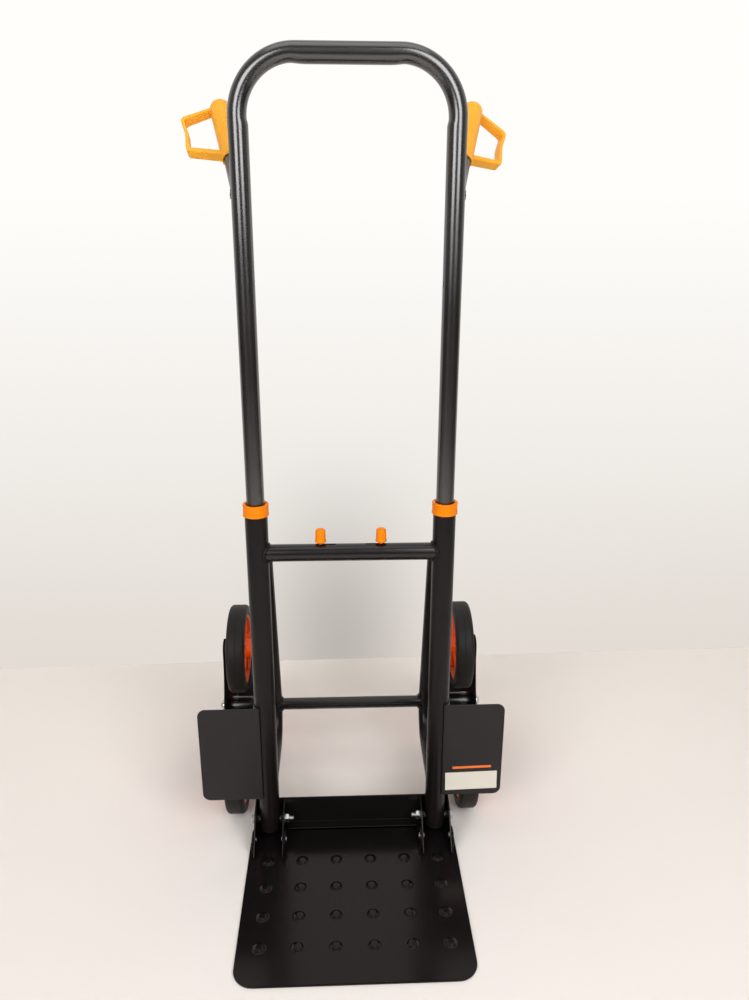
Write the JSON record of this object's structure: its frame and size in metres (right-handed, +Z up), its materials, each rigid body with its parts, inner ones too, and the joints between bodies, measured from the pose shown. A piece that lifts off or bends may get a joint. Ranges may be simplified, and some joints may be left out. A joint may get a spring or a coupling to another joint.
{
  "type": "stair climbing hand truck",
  "caption": "Folding hand truck that climbs stairs on a star of wheels at each side, with a telescoping loop handle, a spring latch, swivelling stair grips and a fold-up toe plate.",
  "frame": {"origin": "on the floor, on the toe plate's underside, midway between the two main tubes", "axes": "+Z is up along the main tubes, the toe plate reaches towards -Y and the wheels stand at +Y, and +X is to the right as seen from in front of the toe plate"},
  "size_m": [0.466, 0.6309, 1.145],
  "materials": {
    "frame_paint": "satin black powder coat on steel tube",
    "plate_paint": "satin black powder coat on steel sheet",
    "orange_plastic": "moulded orange plastic, slight sheen",
    "wheel_plastic": "moulded red-orange plastic rim",
    "tyre_rubber": "matt black rubber tread",
    "black_plastic": "moulded black plastic",
    "card_board": "dark laminated card, satin",
    "zinc_plate": "zinc plated steel",
    "spring_steel": "drawn spring wire"
  },
  "bodies": {
    "frame": {"left_lower_tube": "frame_paint", "left_guide_collar": "orange_plastic", "left_rear_bow": "frame_paint", "left_axle_nut": "zinc_plate", "left_label_card": "card_board", "right_lower_tube": "frame_paint", "right_guide_collar": "orange_plastic", "right_rear_bow": "frame_paint", "right_axle_nut": "zinc_plate", "right_label_card": "card_board", "crossbar": "frame_paint", "cross_tube": "frame_paint", "axle_rod": "zinc_plate", "latch_spring": "spring_steel"},
    "handle": {"handle_tube": "frame_paint", "left_leg_bush": "black_plastic", "left_grip_stem": "frame_paint", "right_leg_bush": "black_plastic", "right_grip_stem": "frame_paint"},
    "left_grip": {"left_stair_grip": "orange_plastic"},
    "right_grip": {"right_stair_grip": "orange_plastic"},
    "left_latch": {"left_latch_pin": "zinc_plate", "left_latch_knob": "orange_plastic"},
    "right_latch": {"right_latch_pin": "zinc_plate", "right_latch_knob": "orange_plastic"},
    "toe": {"toe_plate": "plate_paint", "hinge_bracket": "plate_paint", "left_pivot_bolt": "zinc_plate", "left_pivot_nut": "zinc_plate", "left_inner_rivet": "zinc_plate", "left_outer_rivet": "zinc_plate", "right_pivot_bolt": "zinc_plate", "right_pivot_nut": "zinc_plate", "right_inner_rivet": "zinc_plate", "right_outer_rivet": "zinc_plate"},
    "left_star": {"left_inner_star_plate": "frame_paint", "left_outer_star_plate": "frame_paint", "left_star_hub": "frame_paint", "left_top_wheel_bolt": "frame_paint", "left_front_wheel_bolt": "frame_paint", "left_rear_wheel_bolt": "frame_paint"},
    "right_star": {"right_inner_star_plate": "frame_paint", "right_outer_star_plate": "frame_paint", "right_star_hub": "frame_paint", "right_top_wheel_bolt": "frame_paint", "right_front_wheel_bolt": "frame_paint", "right_rear_wheel_bolt": "frame_paint"},
    "left_top_wheel": {"left_top_tyre": "tyre_rubber", "left_top_rim": "wheel_plastic"},
    "left_front_wheel": {"left_front_tyre": "tyre_rubber", "left_front_rim": "wheel_plastic"},
    "left_rear_wheel": {"left_rear_tyre": "tyre_rubber", "left_rear_rim": "wheel_plastic"},
    "right_top_wheel": {"right_top_tyre": "tyre_rubber", "right_top_rim": "wheel_plastic"},
    "right_front_wheel": {"right_front_tyre": "tyre_rubber", "right_front_rim": "wheel_plastic"},
    "right_rear_wheel": {"right_rear_tyre": "tyre_rubber", "right_rear_rim": "wheel_plastic"}
  },
  "joints": [
    {"name": "handle_slide", "type": "slide", "parent": "frame", "child": "handle", "axis": [0, 0, -1], "range_m": [0, 0.371]},
    {"name": "left_grip_swivel", "type": "hinge", "parent": "handle", "child": "left_grip", "pos_m": [-0.1325, 0, 0.97], "axis": [-0.2074, 0.7188, 0.6635], "range_deg": [-30, 30]},
    {"name": "right_grip_swivel", "type": "hinge", "parent": "handle", "child": "right_grip", "pos_m": [0.1325, 0, 0.97], "axis": [0.2074, 0.7188, 0.6635], "range_deg": [-30, 30]},
    {"name": "left_latch_squeeze", "type": "slide", "parent": "frame", "child": "left_latch", "axis": [1, 0, 0], "range_m": [-0.005, 0.012], "stiffness_N_per_m": 300, "springref_m": -0.005, "deforming": ["latch_spring"]},
    {"name": "right_latch_squeeze", "type": "slide", "parent": "frame", "child": "right_latch", "axis": [-1, 0, 0], "range_m": [-0.005, 0.012], "stiffness_N_per_m": 300, "springref_m": -0.005, "deforming": ["latch_spring"]},
    {"name": "toe_fold", "type": "hinge", "parent": "frame", "child": "toe", "pos_m": [0, 0, 0.037], "axis": [-1, 0, 0], "range_deg": [0, 90]},
    {"name": "left_star_turn", "type": "hinge", "parent": "frame", "child": "left_star", "pos_m": [-0.191, 0.182, 0.1315], "axis": [1, 0, 0], "continuous": true},
    {"name": "left_top_wheel_spin", "type": "hinge", "parent": "left_star", "child": "left_top_wheel", "pos_m": [-0.191, 0.182, 0.2445], "axis": [1, 0, 0], "continuous": true},
    {"name": "left_front_wheel_spin", "type": "hinge", "parent": "left_star", "child": "left_front_wheel", "pos_m": [-0.191, 0.08414, 0.075], "axis": [1, 0, 0], "continuous": true},
    {"name": "left_rear_wheel_spin", "type": "hinge", "parent": "left_star", "child": "left_rear_wheel", "pos_m": [-0.191, 0.27986, 0.075], "axis": [1, 0, 0], "continuous": true},
    {"name": "right_star_turn", "type": "hinge", "parent": "frame", "child": "right_star", "pos_m": [0.191, 0.182, 0.1315], "axis": [1, 0, 0], "continuous": true},
    {"name": "right_top_wheel_spin", "type": "hinge", "parent": "right_star", "child": "right_top_wheel", "pos_m": [0.191, 0.182, 0.2445], "axis": [1, 0, 0], "continuous": true},
    {"name": "right_front_wheel_spin", "type": "hinge", "parent": "right_star", "child": "right_front_wheel", "pos_m": [0.191, 0.08414, 0.075], "axis": [1, 0, 0], "continuous": true},
    {"name": "right_rear_wheel_spin", "type": "hinge", "parent": "right_star", "child": "right_rear_wheel", "pos_m": [0.191, 0.27986, 0.075], "axis": [1, 0, 0], "continuous": true}
  ]
}
